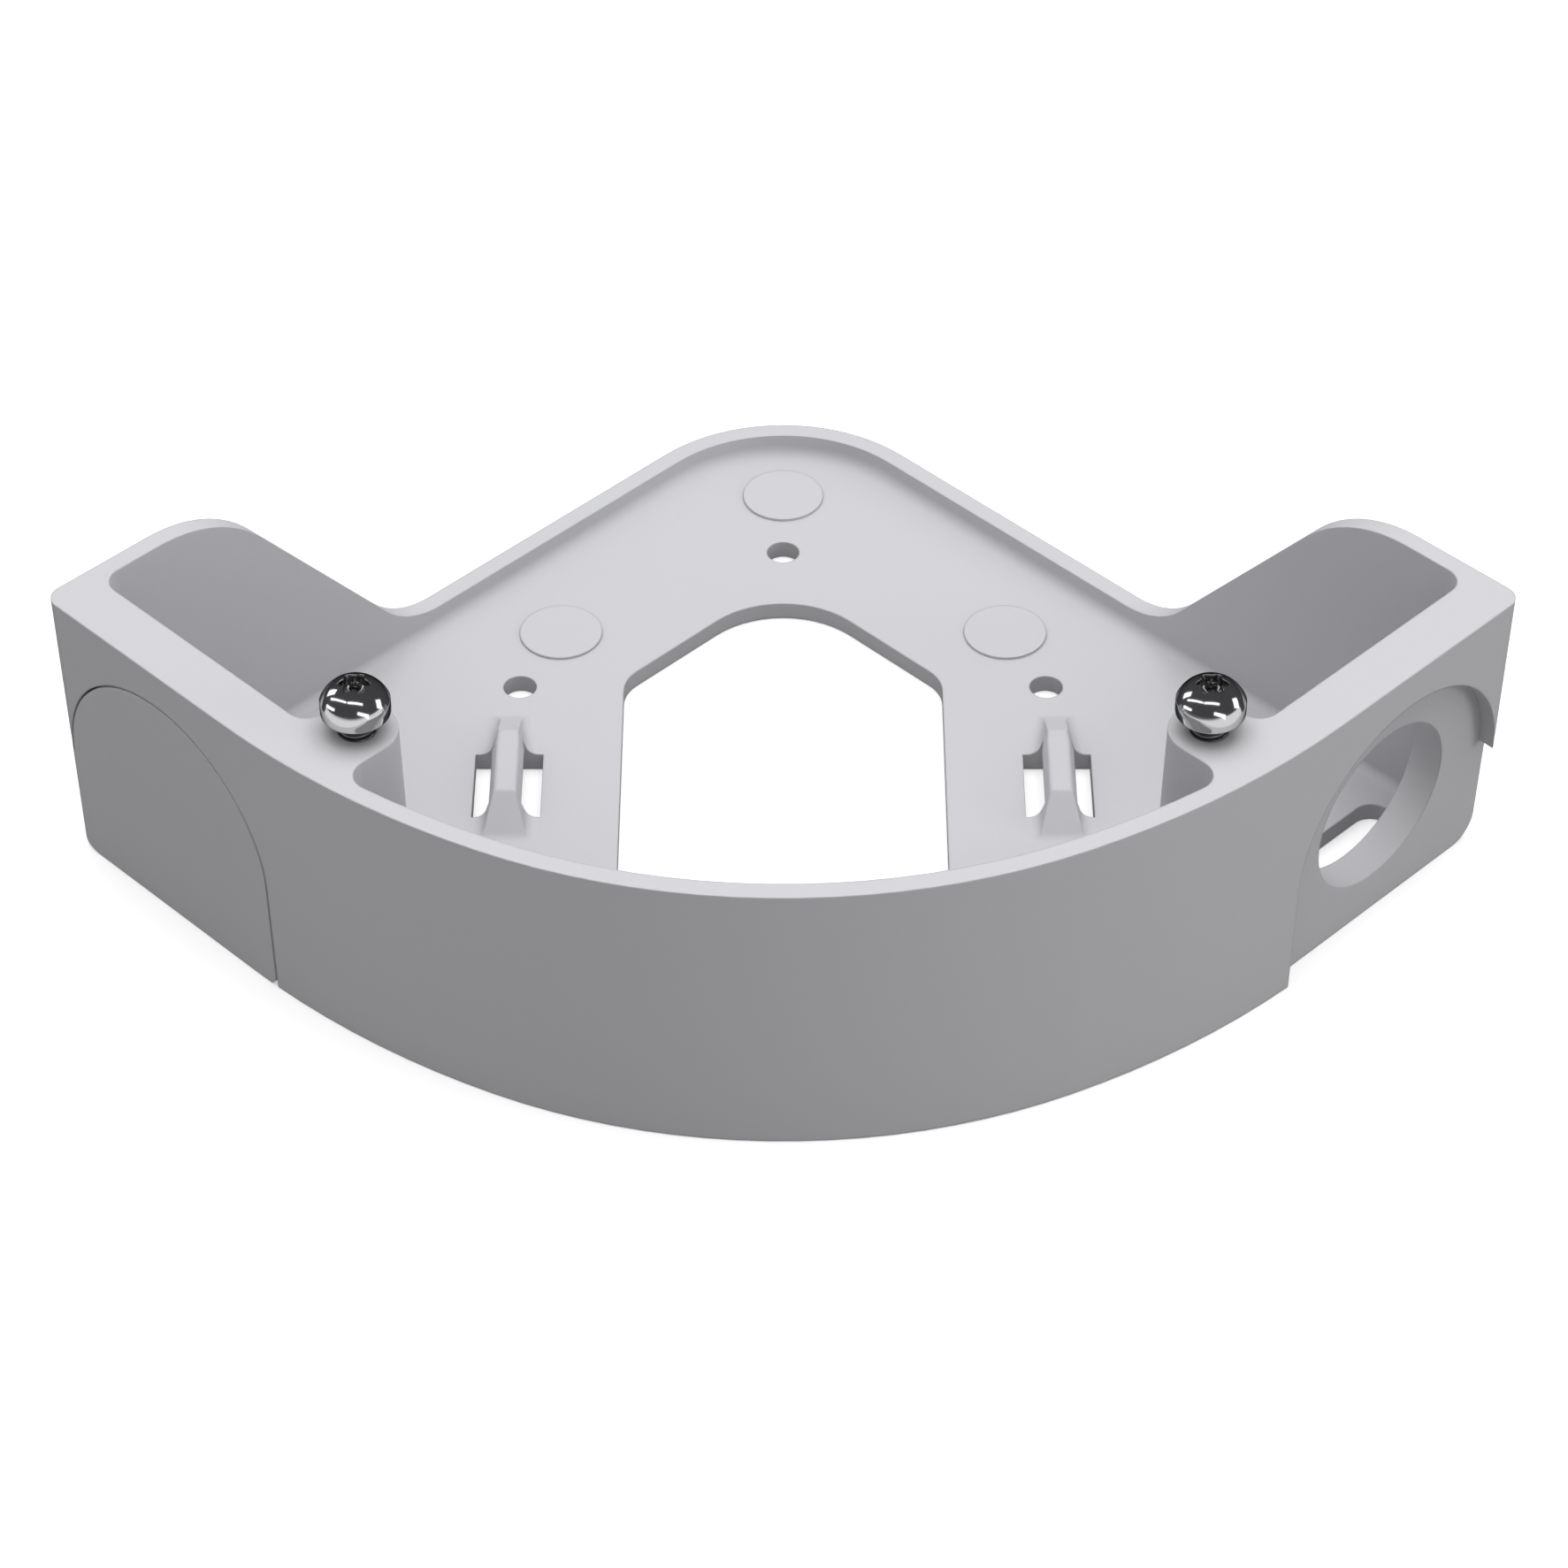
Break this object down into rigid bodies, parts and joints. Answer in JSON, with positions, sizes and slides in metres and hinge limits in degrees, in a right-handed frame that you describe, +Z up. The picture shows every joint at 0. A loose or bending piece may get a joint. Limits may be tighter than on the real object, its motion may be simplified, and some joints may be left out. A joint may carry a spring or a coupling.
{
  "type": "junction box",
  "caption": "Corner junction box for a security camera: white cast tray with ears, a side entry, a side cover and two pan head screws.",
  "frame": {"origin": "on the base plane, on the middle plane, half way between the front rim and the low back rim", "axes": "+X to the right seen from the bowed front, +Y from the bowed front to the back corner, +Z up from the base to the rim"},
  "size_m": [0.196, 0.1471, 0.052],
  "materials": {
    "housing_white": "satin white powder coat",
    "cover_white": "satin white powder coat",
    "screw_steel": "polished"
  },
  "bodies": {
    "root": {"housing": "housing_white", "side_cover": "cover_white", "camera_screw_left": "screw_steel", "camera_screw_right": "screw_steel"}
  },
  "joints": []
}
